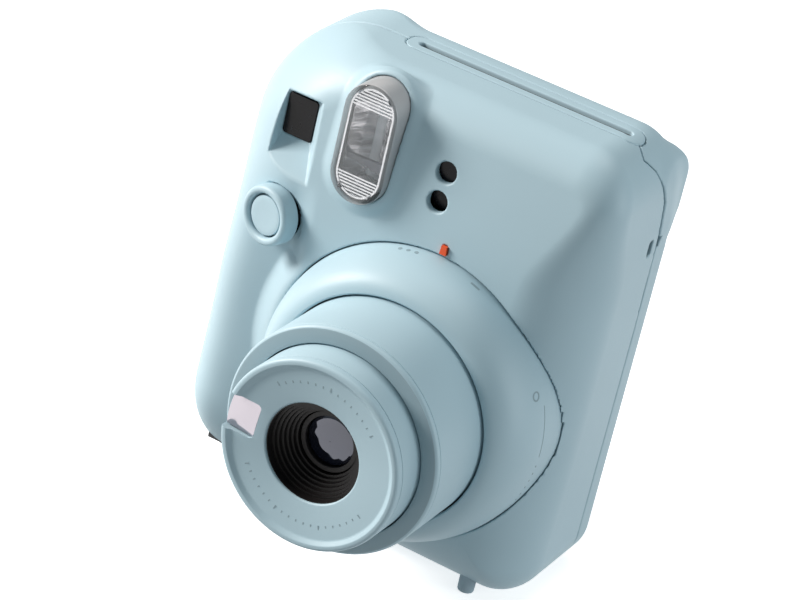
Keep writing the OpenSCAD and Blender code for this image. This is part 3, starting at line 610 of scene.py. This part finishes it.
def build_casing():
    field_piece("casing_front", "front_shell", "casing", M["shell"], front_shell_field,
                (-53.5, -24, -1), (53.5, 18, 123), 0.5, 190000)
    field_piece("casing_rear", "rear_shell", "casing", M["shell"], rear_shell_field,
                (-53.5, -1, -1), (53.5, 29.5, 123), 0.5, 190000)
    field_piece("battery_hatch", "battery_door", "battery_door", M["shell"], battery_door_field,
                (-53.5, -5, 10), (-48, 14.5, 64), 0.3, 40000)
    field_piece("film_exit", "exit_panel", "casing", M["shell"], exit_panel_field,
                (-22, 3, 109), (46, 15, 123), 0.3, 60000)


# ---------------------------------------------------------------- lens


def ring_profile():
    """Closed [radius, y] outline of the domed mode ring."""
    low_r = OUTER_R + 0.4
    arch = []
    for i in range(19):
        t = math.radians(90 * i / 18)
        arch.append((OUTER_R + 1.0 + (RING_R - OUTER_R - 1.1) * math.sin(t) ** 0.95,
            -32.7 + 16.5 * (1 - math.cos(t))))
    skin = [(low_r, -31.9), (low_r + 0.15, -32.45), (low_r + 0.5, -32.7)]
    outer = arch + [(RING_R - 0.02, -15), (RING_R, -9), (RING_R, -5.5), (RING_R - 0.4, -5)]
    inner = [(RING_R - 2, -5), (RING_R - 2, -15), (RING_R - 2.8, -20), (RING_R - 4.4, -25),
             (OUTER_R + 3.8, -27), (OUTER_R + 3.8, -9), (OUTER_R + 2.2, -9), (OUTER_R + 2.2, -31),
                 (low_r, -31)]
    return skin + outer + inner


def ring_marks():
    """Generic settings marks on the dome: a bar for on, an open circle for off, dots for close-up."""
    verts, faces = [], []

    def surface_point(angle, y):
        """A point on the dome's skin at an angle from up, clockwise, and a depth y."""
        t = 1 - (y + 32.7) / 16.5
        r = OUTER_R + 1.0 + (RING_R - OUTER_R - 1.1) * math.sqrt(max(0, 1 - t * t)) ** 0.95
        a = math.radians(90 - angle)
        return Vector((LENS_X + r * math.cos(a), y, LENS_Z + r * math.sin(a)))

    def normal_at(angle, y):
        p = surface_point(angle, y)
        across = surface_point(angle + 0.3, y) - p
        along = surface_point(angle, y + 0.1) - p
        n = across.cross(along).normalized()
        out = Vector((p.x - LENS_X, -3, p.z - LENS_Z))
        return n if n.dot(out) > 0 else -n

    def patch(points):
        """A thin closed tile on the skin from a ring of (angle, y) points."""
        start = len(verts)
        for angle, y in points:
            p, n = surface_point(angle, y), normal_at(angle, y)
            verts.append(p + n * 0.05)
        for angle, y in points:
            p, n = surface_point(angle, y), normal_at(angle, y)
            verts.append(p - n * 0.3)
        count = len(points)
        faces.append(tuple(range(start, start + count)))
        faces.append(tuple(range(start + 2 * count - 1, start + count - 1, -1)))
        for i in range(count):
            j = (i + 1) % count
            faces.append((start + i, start + count + i, start + count + j, start + j))

    def dot(angle, y, size):
        patch([(angle + size * 1.5 * math.cos(t), y + size * math.sin(t))
               for t in [2 * math.pi * k / 16 for k in range(16)]])

    def arc_band(angle0, angle1, y, half):
        steps = 14
        for k in range(steps):
            a, b = (angle0 + (angle1 - angle0) * n / steps for n in (k, k + 1))
            patch([(a, y - half), (b, y - half), (b, y + half), (a, y + half)])

    arc_band(17, 21, -20.5, 0.3)
    for k in range(3):
        dot(-7 - 3.4 * k, -20.5, 0.55)
    for k in range(16):
        a0, a1 = (2 * math.pi * n / 16 for n in (k, k + 1))
        patch([(66 + r * 1.5 * math.cos(t), -20.5 + r * math.sin(t)) for r,
            t in ((1.3, a0), (1.3, a1), (0.9, a1), (0.9, a0))])
    for k in range(13):
        dot(96 + 3.4 * k, -17.5, 0.28)
    arc_band(71, 92, -17.5, 0.09)
    mesh = mesh_from("ring_marks", verts, faces, 60)
    return add_object("ring_marks", mesh, "mode_ring", M["mark"])


def add_lathe(name, node, body, material, corners, steps=5, **options):
    mesh = lathe(name, rounded(corners, steps), **options)
    return add_object(name, mesh, body, material, [node])


def assign_band(obj, material, test):
    """Gives a second material to the faces whose centre passes a test in millimetres."""
    obj.data.materials.append(material)
    index = len(obj.data.materials) - 1
    for poly in obj.data.polygons:
        x, y, z = (c / MM for c in poly.center)
        if test(math.hypot(x - LENS_X, z - LENS_Z), y, poly.normal):
            poly.material_index = index


MIRROR_ANGLE = math.radians(175)


def mirror_seat_cut(obj):
    """Cuts the open seat of the mirror out of a piece with a rounded block."""
    corners = [(INNER_R - 8.6, -4.7, 1.2), (INNER_R + 4, -4.7, 0.2), (INNER_R + 4, 4.7, 0.2),
        (INNER_R - 8.6, 4.7, 1.2)]
    outline = rounded(corners, 6)
    c, s = math.cos(MIRROR_ANGLE), math.sin(MIRROR_ANGLE)
    turned = [(LENS_X + u * c - v * s, LENS_Z + u * s + v * c) for u, v in outline]
    mesh = prism(obj.name + "_cutter", turned, FACE_Y - 2, FACE_Y + 2.9)
    tool = bpy.data.objects.new(obj.name + "_cutter", mesh)
    bpy.context.scene.collection.objects.link(tool)
    mod = obj.modifiers.new("seat", "BOOLEAN")
    mod.object = tool
    mod.solver = "EXACT"
    deps = bpy.context.evaluated_depsgraph_get()
    baked = bpy.data.meshes.new_from_object(obj.evaluated_get(deps))
    obj.modifiers.clear()
    obj.data = baked
    bpy.data.objects.remove(tool)
    smooth_mesh(baked, 35)


def build_lens():
    add_object("settings_ring", lathe("settings_ring", ring_profile(), angle=50), "mode_ring", M["shell"],
        ["mode_ring"])
    ring_marks()
    outer = add_lathe("rear_barrel", "outer_barrel", "outer_barrel", M["shell"], [
        (INNER_R + 0.35, -54.1, 0.25), (OUTER_R, -54.1, 0.9), (OUTER_R, -52.55, 0.12),
            (OUTER_R - 0.25, -52.4, 0.05),
        (OUTER_R, -52.25, 0.12), (OUTER_R, -22, 0.3), (OUTER_R - 1.6, -22, 0.3), (OUTER_R - 1.6, -52, 0.3),
        (INNER_R + 0.35, -52, 0.2)])
    # painted shade: the forward-facing step of the rear barrel, at the foot of the front barrel, takes the
    # darker copy of the body blue
    assign_band(outer, M["lip"], lambda r, y, n: n.y < -0.7 and r < OUTER_R - 0.7)
    inner = add_lathe("front_barrel", "inner_barrel", "inner_barrel", M["shell"], [
        (INNER_R - 1.6, FACE_Y + 2.5, 0), (INNER_R, FACE_Y + 2.5, 0.12), (INNER_R, -30, 0.3),
            (INNER_R - 1.6, -30, 0.3)])
    face = add_lathe("lens_face", "front_ring", "inner_barrel", M["shell"], [
        (12.5, FACE_Y + 1.7, 0.5), (INNER_R - 2.6, FACE_Y + 0.85, 1.2), (INNER_R - 1.5, FACE_Y, 0.5),
        (INNER_R, FACE_Y, 0.9), (INNER_R, FACE_Y + 2.36, 0.12), (INNER_R - 1.6, FACE_Y + 2.4, 0),
            (12.5, FACE_Y + 3.4, 0.2)])
    for piece in (inner, face):
        mirror_seat_cut(piece)
    build_face_marks()
    build_mirror()
    steps = []
    for i in range(7):
        steps += [(12.3 - 0.72 * i, -60.9 + 0.95 * i, 0),
            (12.3 - 0.72 * i - 0.12, -60.9 + 0.95 * (i + 1), 0)]
    steps[0] = (12.3, -62.0, 0)
    funnel = steps + [(7.6, -54.4, 0), (8.8, -54.4, 0), (13.8, -60.9, 0), (13.8, -62.0, 0)]
    add_object("light_funnel", lathe("light_funnel", [(r, y) for r, y, _ in funnel], angle=25),
        "inner_barrel", M["cone"], ["lens_cone"])


def build_face_marks():
    """Small tick marks on the lens face in place of lettering."""
    verts, faces = [], []

    def tile(angle, half_deg, r0, r1):
        start = len(verts)
        y = FACE_Y + 0.85 + (INNER_R - 2.6 - (r0 + r1) / 2) * 0.98 / 8.7 - 0.06
        corners = [(r0, -half_deg), (r1, -half_deg), (r1, half_deg), (r0, half_deg)]
        for depth in (0, 0.4):
            for r, a in corners:
                t = math.radians(angle + a)
                verts.append((LENS_X + r * math.cos(t), y + depth, LENS_Z + r * math.sin(t)))
        faces.extend([(start, start + 1, start + 2, start + 3),
            (start + 7, start + 6, start + 5, start + 4)])
        for i in range(4):
            j = (i + 1) % 4
            faces.append((start + i, start + 4 + i, start + 4 + j, start + j))

    for k in range(15):
        tile(40 + 6.5 * k, 0.5, 17.6, 19.4 if k % 7 == 0 else 18.6)
    for k in range(19):
        tile(212 + 6.5 * k, 0.5, 17.6, 19.4 if k % 6 == 0 else 18.6)
    mesh = mesh_from("face_marks", verts, faces, 30)
    return add_object("face_marks", mesh, "inner_barrel", M["mark"])


def build_mirror():
    """Bulging mirror plate in its open seat."""
    rows, columns = 10, 12
    c, s = math.cos(MIRROR_ANGLE), math.sin(MIRROR_ANGLE)
    verts, faces = [], []
    for depth in (0, 0.6):
        for i in range(rows + 1):
            for j in range(columns + 1):
                v = -4.4 + 8.8 * i / rows
                outer = math.sqrt((INNER_R - 0.5) ** 2 - v * v)
                u = INNER_R - 8.3 + (outer - INNER_R + 8.3) * j / columns
                crown = 0.6 * (1 - (v / 4.4) ** 2) * (1 - ((u - 19.5) / 4.6) ** 2)
                verts.append((LENS_X + u * c - v * s, FACE_Y + 2.1 - crown * (1 - depth) + depth,
                    LENS_Z + u * s + v * c))
    count = (rows + 1) * (columns + 1)
    for i in range(rows):
        for j in range(columns):
            a = i * (columns + 1) + j
            quad = (a, a + 1, a + columns + 2, a + columns + 1)
            faces.append(quad)
            faces.append(tuple(count + k for k in reversed(quad)))
    rim = [j for j in range(columns)] + [i * (columns + 1) + columns for i in range(rows)]
    rim += [rows * (columns + 1) + columns - j for j in range(columns)]
    rim += [(rows - i) * (columns + 1) for i in range(rows)]
    for a, b in zip(rim, rim[1:] + rim[:1]):
        faces.append((b, a, a + count, b + count))
    mesh = mesh_from("selfie_plate", verts, faces, 40)
    add_object("selfie_plate", mesh, "inner_barrel", M["mirror"], ["selfie_mirror"])


# ---------------------------------------------------------------- front details


def tilt_button(mesh):
    """Leans a piece of the button with the side of the grip, about the button's centre."""
    centre = Matrix.Translation(Vector((BUTTON_AT[0], FRONT, BUTTON_AT[1])) * MM)
    mesh.transform(centre @ Matrix.Rotation(BUTTON_TILT, 4, "Z") @ centre.inverted())


def build_button():
    ring = []
    mid, half = 6.55, 1.05
    for k in range(17):
        t = math.pi * k / 16
        ring.append((mid + half * math.cos(t), -19.7 - 1.1 * math.sin(t)))
    ring += [(mid - half, FRONT + 2.6), (mid + half, FRONT + 2.6)]
    mesh = lathe("release_ring", ring, BUTTON_AT, 96)
    tilt_button(mesh)
    add_object("release_ring", mesh, "casing", M["shell"], ["button_ring"])
    face = [(0, -19.9), (3.6, -19.92), (4.7, -20.0), (4.95, -19.9), (5.05, -19.6), (5.05, FRONT + 2.4),
            (5.6, FRONT + 2.4), (5.6, FRONT + 3.4), (1.5, FRONT + 3.4), (1.5, FRONT + 5), (0, FRONT + 5)]
    mesh = lathe("release_button", face, BUTTON_AT, 96)
    tilt_button(mesh)
    add_object("release_button", mesh, "shutter_button", M["shell"], ["shutter_button"])


def build_flash():
    """Clear ribbed window over a bright reflector, with a milky side wall and a trigger wire."""
    x, z = FLASH_AT
    w, h = FLASH_SIZE
    rings = []
    levels = [(0.0, -11.5), (0.0, -20.6), (0.12, -21.1), (0.45, -21.4), (1.0, -21.5)]
    for inset, y in levels:
        rings.append([(px, y, pz) for px, pz in pill_outline(x, z, w - 2 * inset, h - 2 * inset)])
    inner = [(px, -20.5, pz) for px, pz in pill_outline(x, z, w - 2.4, h - 2.4)]
    back = [(px, -11.5, pz) for px, pz in pill_outline(x, z, w - 2.4, h - 2.4)]
    rings += [inner, back]
    count = len(rings[0])
    verts = [v for ring in rings for v in ring]
    faces = []
    for a in range(4):
        for i in range(count):
            j = (i + 1) % count
            faces.append((a * count + i, a * count + j, (a + 1) * count + j, (a + 1) * count + i))
    faces.append(tuple(4 * count + i for i in range(count)))
    faces.append(tuple(5 * count + i for i in reversed(range(count))))
    for i in range(count):
        j = (i + 1) % count
        faces.append((5 * count + i, 5 * count + j, 6 * count + j, 6 * count + i))
        faces.append((6 * count + i, 6 * count + j, j, i))
    mesh = mesh_from("flash_cover", verts, faces, 40)
    add_object("flash_cover", mesh, "casing", [M["clear"], M["frosted"]], ["flash_window"])
    for poly in mesh.polygons:
        if abs(poly.normal.y) < 0.5:
            poly.material_index = 1
    build_flash_ribs(x, z, w, h)
    build_reflector(x, z)


def build_flash_ribs(x, z, w, h):
    """Fine prism ribs inside the top and bottom of the window."""
    verts, faces = [], []
    pitch = 0.8
    for side in (1, -1):
        for k in range(7):
            level = z + side * (h / 2 - 1.8 - pitch * k)
            over = max(0, abs(level - z) - (h - w) / 2)
            half = math.sqrt(max(0.2, (w / 2 - 1.5) ** 2 - over ** 2))
            start = len(verts)
            for px in (x - half, x + half):
                verts += [(px, -20.3, level - 0.2), (px, -20.3, level + 0.2), (px, -19.9, level)]
            faces += [(start, start + 1, start + 2), (start + 5, start + 4, start + 3)]
            for i in range(3):
                j = (i + 1) % 3
                faces.append((start + i, start + 3 + i, start + 3 + j, start + j))
    mesh = mesh_from("flash_ribs", verts, faces, 20)
    add_object("flash_ribs", mesh, "casing", M["silver"])


def build_reflector(x, z):
    """Facetted silver bowl with closed, sloping ends."""
    columns, rows = 16, 12
    verts, faces = [], []
    for depth in (0, 0.5):
        for i in range(rows + 1):
            v = -1 + 2 * i / rows
            for j in range(columns + 1):
                u = -1 + 2 * j / columns
                end = max(0, abs(v) - 0.55) / 0.45
                y = -11.9 - 7.0 * u * u - 6.5 * end * end * (1 - 0.6 * u * u) + depth
                verts.append((x + 5.4 * u * (1 - 0.25 * end * end), y, z + 12.9 * v))
    count = (rows + 1) * (columns + 1)
    for i in range(rows):
        for j in range(columns):
            a = i * (columns + 1) + j
            quad = (a, a + 1, a + columns + 2, a + columns + 1)
            faces.append(quad)
            faces.append(tuple(count + k for k in reversed(quad)))
    rim = [j for j in range(columns)] + [i * (columns + 1) + columns for i in range(rows)]
    rim += [rows * (columns + 1) + columns - j for j in range(columns)]
    rim += [(rows - i) * (columns + 1) for i in range(rows)]
    for a, b in zip(rim, rim[1:] + rim[:1]):
        faces.append((b, a, a + count, b + count))
    mesh = mesh_from("flash_bowl", verts, faces, 12)
    add_object("flash_bowl", mesh, "casing", M["bowl"], ["flash_reflector"])
    build_flash_details(x, z)


def build_flash_details(x, z):
    """Dark electrode bar with its trigger wire, and the bright inner border of the window."""
    level = z - 5.2
    outline = rounded([(x - 5.2, level - 0.8, 0.2), (x + 0.4, level - 0.8, 0.2), (x + 2.2, level - 1.8, 0.3),
                       (x + 5.3, level - 1.6, 0.2), (x + 5.3, level + 0.7, 0.2),
                           (x - 5.2, level + 0.5, 0.2)])
    bar = prism("flash_electrode", outline, -18.2, -17.0)
    add_object("flash_electrode", bar, "casing", M["dark"])
    curve = bpy.data.curves.new("flash_wire", "CURVE")
    curve.dimensions = "3D"
    curve.bevel_depth = 0.16 * MM
    spline = curve.splines.new("BEZIER")
    path = [(x + 1.0, -18.0, level - 0.9), (x + 0.2, -18.4, level - 2.2), (x - 1.2, -18.2, level - 3.6),
        (x - 1.8, -17.4, level - 5.0)]
    spline.bezier_points.add(len(path) - 1)
    for point, place in zip(spline.bezier_points, path):
        point.co = Vector(place) * MM
        point.handle_left_type = point.handle_right_type = "AUTO"
    wire = bpy.data.objects.new("flash_wire", curve)
    curve.materials.append(M["dark"])
    bpy.context.scene.collection.objects.link(wire)
    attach(wire, "casing")
    rings = []
    for y in (-20.45, -19.9):
        for inset in (1.3, 1.75):
            rings.append([(px, y, pz) for px,
                pz in pill_outline(x, z, FLASH_SIZE[0] - 2 * inset, FLASH_SIZE[1] - 2 * inset)])
    count = len(rings[0])
    verts = [v for ring in rings for v in ring]
    faces = []
    for a, b in ((0, 1), (1, 3), (3, 2), (2, 0)):
        for i in range(count):
            j = (i + 1) % count
            faces.append((a * count + i, a * count + j, b * count + j, b * count + i))
    add_object("flash_border", mesh_from("flash_border", verts, faces, 30), "casing", M["silver"])


def build_finder():
    """Glass and dark tube of the viewfinder, set deeper in the scoop than its CAD block."""
    x0, x1 = FINDER_X
    z0, z1 = FINDER_Z
    pane = prism("finder_pane", rounded([(x0 + 0.1, z0 + 0.1, 0.8), (x1 - 0.1, z0 + 0.1, 0.8),
                                         (x1 - 0.1, z1 - 0.1, 0.8),
                                             (x0 + 0.1, z1 - 0.1, 0.8)]), GLASS_Y, GLASS_Y + 1)
    # the pane is near-black as painted shade for the unlit tube behind it, over the tube's own black
    obj = add_object("finder_pane", pane, "casing", M["finder"], ["viewfinder_window"])
    bevel(obj, 0.15)
    outer = [(x0, z0), (x1, z0), (x1, z1), (x0, z1)]
    inner = [(x0 + 1.2, z0 + 1.2), (x1 - 1.2, z0 + 1.2), (x1 - 1.2, z1 - 1.2), (x0 + 1.2, z1 - 1.2)]
    near, far = GLASS_Y + 1.1, BACK + 0.4
    verts = [(x, y, z) for y in (near, far) for ring in (outer, inner) for x, z in ring]
    faces = []
    for i in range(4):
        j = (i + 1) % 4
        faces += [(i, j, 4 + j, 4 + i), (8 + j, 8 + i, 12 + i, 12 + j), (j, i, 8 + i, 8 + j),
            (4 + i, 4 + j, 12 + j, 12 + i)]
    tube = add_object("finder_tunnel", mesh_from("finder_tunnel", verts, faces), "casing", M["black"],
        ["viewfinder_tube"])
    bevel(tube, 0.2)


def build_feet():
    """Soft pads that reach up into the rounded underside."""
    low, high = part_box("rubber_feet")
    centres = [(x, y) for x in (low[0] + 0.0025, high[0] - 0.0025) for y in (low[1] + 0.0025,
        high[1] - 0.0025)]
    profile = [(0, -0.6), (1.8, -0.6), (2.0, -0.5), (2.1, -0.3), (2.2, 4.6), (0, 4.6)]
    verts, faces = [], []
    segments = 48
    for x, y in centres:
        start = len(verts)
        for s in range(segments):
            t = 2 * math.pi * s / segments
            verts += [(x / MM + r * math.cos(t), y / MM + r * math.sin(t), z) for r, z in profile[1:-1]]
        rings = len(profile) - 2
        for s in range(segments):
            n = (s + 1) % segments
            for i in range(rings - 1):
                a, b = start + s * rings + i, start + n * rings + i
                faces.append((a, b, b + 1, a + 1))
        faces.append(tuple(start + s * rings for s in reversed(range(segments))))
        faces.append(tuple(start + s * rings + rings - 1 for s in range(segments)))
    add_object("foot_pads", mesh_from("foot_pads", verts, faces, 30), "casing", M["foot"], ["rubber_feet"])


def build_sensors():
    for k, (x, z) in enumerate(SENSORS):
        outline = [(0, -13.9), (2.6, -13.9), (2.8, -14.0), (2.95, -13.8), (2.95, -12.8), (0, -12.8)]
        mesh = lathe("sensor_%d" % k, outline, (x, z), 64)
        add_object("sensor_%d" % k, mesh, "casing", M["sensor"])


# ---------------------------------------------------------------- back


def build_back_door():
    """Back door plate with rounded edges, and soft bevels on the CAD parts round it."""
    for name in ("back_door", "door_latch", "eyepiece_frame"):
        bevel(frame["nodes"][name], 0.35, 3)
    for name in ("case_screws", "strap_bar", "door_hinge_pin"):
        bevel(frame["nodes"][name], 0.12, 2)


# ---------------------------------------------------------------- studio


def area_light(name, at, target, size, power, colour=(1, 1, 1)):
    data = bpy.data.lights.new(name, "AREA")
    data.shape = "RECTANGLE"
    data.size, data.size_y = size
    data.energy = power
    data.color = colour
    obj = bpy.data.objects.new(name, data)
    obj.location = at
    obj.rotation_euler = (Vector(target) - Vector(at)).to_track_quat("-Z", "Y").to_euler()
    bpy.context.scene.collection.objects.link(obj)


def build_studio():
    bpy.context.scene.view_settings.view_transform = "Standard"
    mesh = bpy.data.meshes.new("floor")
    half = 4.0
    z = -0.0006
    mesh.from_pydata([(-half, -half, z), (half, -half, z), (half, half, z), (-half, half, z)], [],
        [(0, 1, 2, 3)])
    floor = bpy.data.objects.new("floor", mesh)
    bpy.context.scene.collection.objects.link(floor)
    mesh.materials.append(floor_material())
    floor.visible_diffuse = False
    world = bpy.data.worlds.new("studio")
    bpy.context.scene.world = world
    world.use_nodes = True
    background = world.node_tree.nodes["Background"]
    background.inputs["Color"].default_value = (0.84, 0.95, 1.0, 1)
    background.inputs["Strength"].default_value = 0.31
    centre = (0, 0, 0.06)
    warm, cool = (1.0, 0.93, 0.89), (0.92, 0.97, 1.0)
    area_light("key", (-1.05, -0.4, 0.62), centre, (0.4, 0.4), 22, warm)
    area_light("top", (0.1, 0.25, 1.1), centre, (0.5, 0.5), 2.5, warm)
    area_light("rim", (1.1, 0.2, 0.3), centre, (0.3, 0.7), 4, cool)


def floor_material():
    """Pale studio floor, lit a little from within so that it stays white round the object."""
    mat = surface("floor_white", (0.82, 0.82, 0.82), (0.6, 0.7), 0.01, 300, 0.00001)
    shader = next(n for n in mat.node_tree.nodes if n.type == "BSDF_PRINCIPLED")
    shader.inputs["Emission Color"].default_value = (1, 1, 1, 1)
    shader.inputs["Emission Strength"].default_value = 0.68
    shader.inputs["Specular IOR Level"].default_value = 0.1
    return mat


def build_camera():
    """Long lens, level with the photograph's view: turned, raised and rolled."""
    azimuth, elevation, roll = (math.radians(v) for v in (23.6907, 26.8888, 13.5055))
    target = Vector((-5.006, 5.0, 56.90)) * MM
    back = Vector((math.sin(azimuth) * math.cos(elevation), -math.cos(azimuth) * math.cos(elevation),
        math.sin(elevation)))
    right = Vector((math.cos(azimuth), math.sin(azimuth), 0))
    up = back.cross(right)
    turned_right = right * math.cos(roll) + up * math.sin(roll)
    turned_up = back.cross(turned_right)
    data = bpy.data.cameras.new("photo_view")
    data.sensor_width = 36
    data.sensor_fit = "HORIZONTAL"
    data.lens = 158.175
    data.clip_start = 0.01
    camera = bpy.data.objects.new("photo_view", data)
    place = target + back * 0.86863
    axes = Matrix((turned_right, turned_up, back)).transposed().to_4x4()
    camera.matrix_world = Matrix.Translation(place) @ axes
    bpy.context.scene.collection.objects.link(camera)
    bpy.context.scene.camera = camera


paint_nodes()
build_studio()
build_camera()
build_casing()
build_lens()
build_button()
build_flash()
build_finder()
build_sensors()
build_feet()
build_back_door()

bpy.context.view_layer.update()
